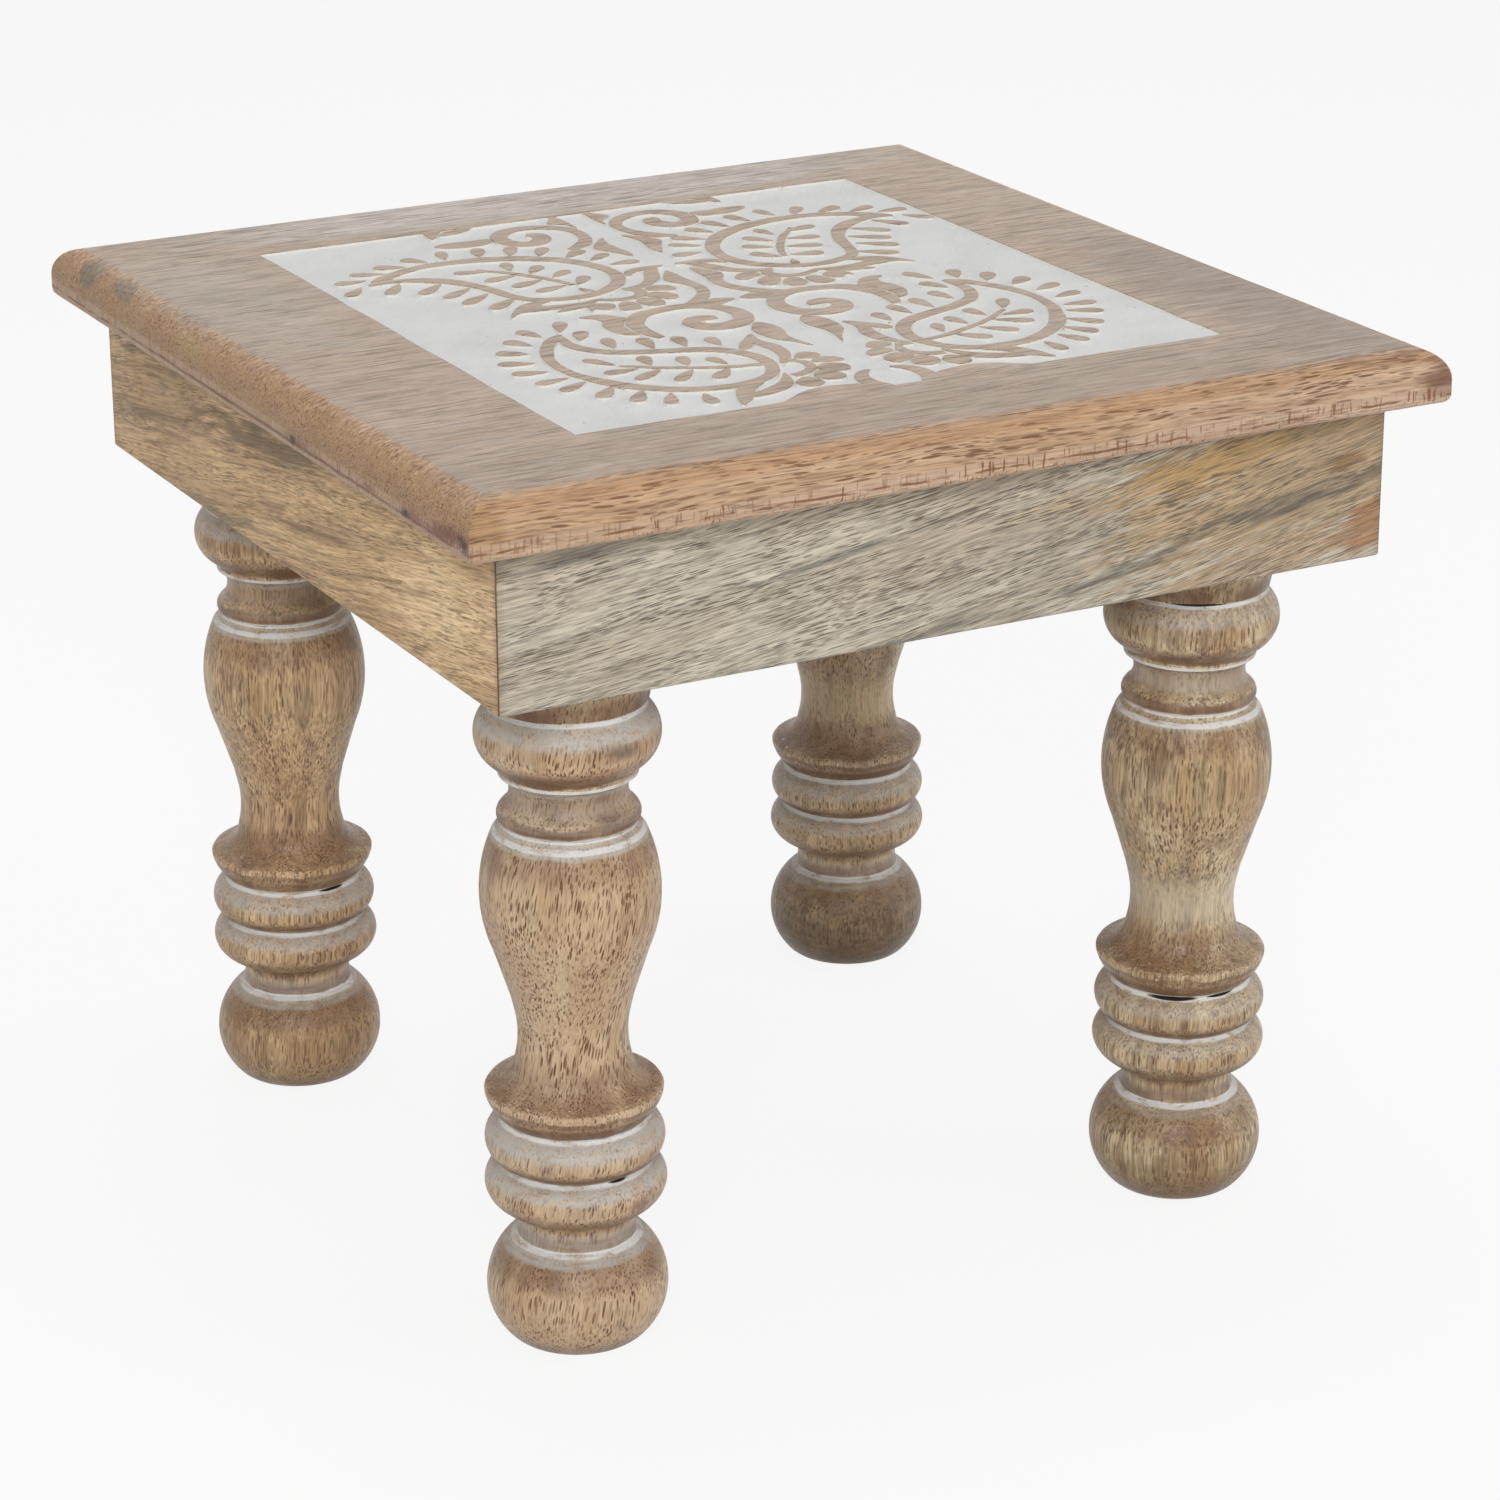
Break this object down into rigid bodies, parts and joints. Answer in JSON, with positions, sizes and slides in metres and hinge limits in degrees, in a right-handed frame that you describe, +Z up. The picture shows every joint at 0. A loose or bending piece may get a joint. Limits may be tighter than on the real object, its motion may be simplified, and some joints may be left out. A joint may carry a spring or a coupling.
{
  "type": "low table",
  "caption": "Low square wooden table with a rounded slab top, a sunk carved paisley panel, mitred apron boards and turned baluster legs on ball feet.",
  "frame": {"origin": "on the floor under the middle of the square top", "axes": "+Z up, +X to the table's right, +Y to the back; the front board faces -Y"},
  "size_m": [0.305, 0.305, 0.267],
  "materials": {
    "slab_wood": "waxed greyish wood, figures raised over a whitewashed ground",
    "apron_wood": "waxed wood, grey-beige to olive brown",
    "leg_wood": "satin honey wood with whitewash in the grooves",
    "cleat_wood": "sawn, unfinished",
    "dowel_wood": "plain",
    "screw_steel": "zinc plated"
  },
  "bodies": {
    "root": {"top_slab": "slab_wood", "apron_front": "apron_wood", "apron_right": "apron_wood", "apron_back": "apron_wood", "apron_left": "apron_wood", "leg_front_left": "leg_wood", "leg_front_right": "leg_wood", "leg_back_right": "leg_wood", "leg_back_left": "leg_wood", "cleat_front": "cleat_wood", "cleat_right": "cleat_wood", "cleat_back": "cleat_wood", "cleat_left": "cleat_wood", "dowels_front_left": "dowel_wood", "dowels_front_right": "dowel_wood", "dowels_back_right": "dowel_wood", "dowels_back_left": "dowel_wood", "side_screws_front": "screw_steel", "side_screws_right": "screw_steel", "side_screws_back": "screw_steel", "side_screws_left": "screw_steel", "top_screws_front": "screw_steel", "top_screws_right": "screw_steel", "top_screws_back": "screw_steel", "top_screws_left": "screw_steel"}
  },
  "joints": []
}
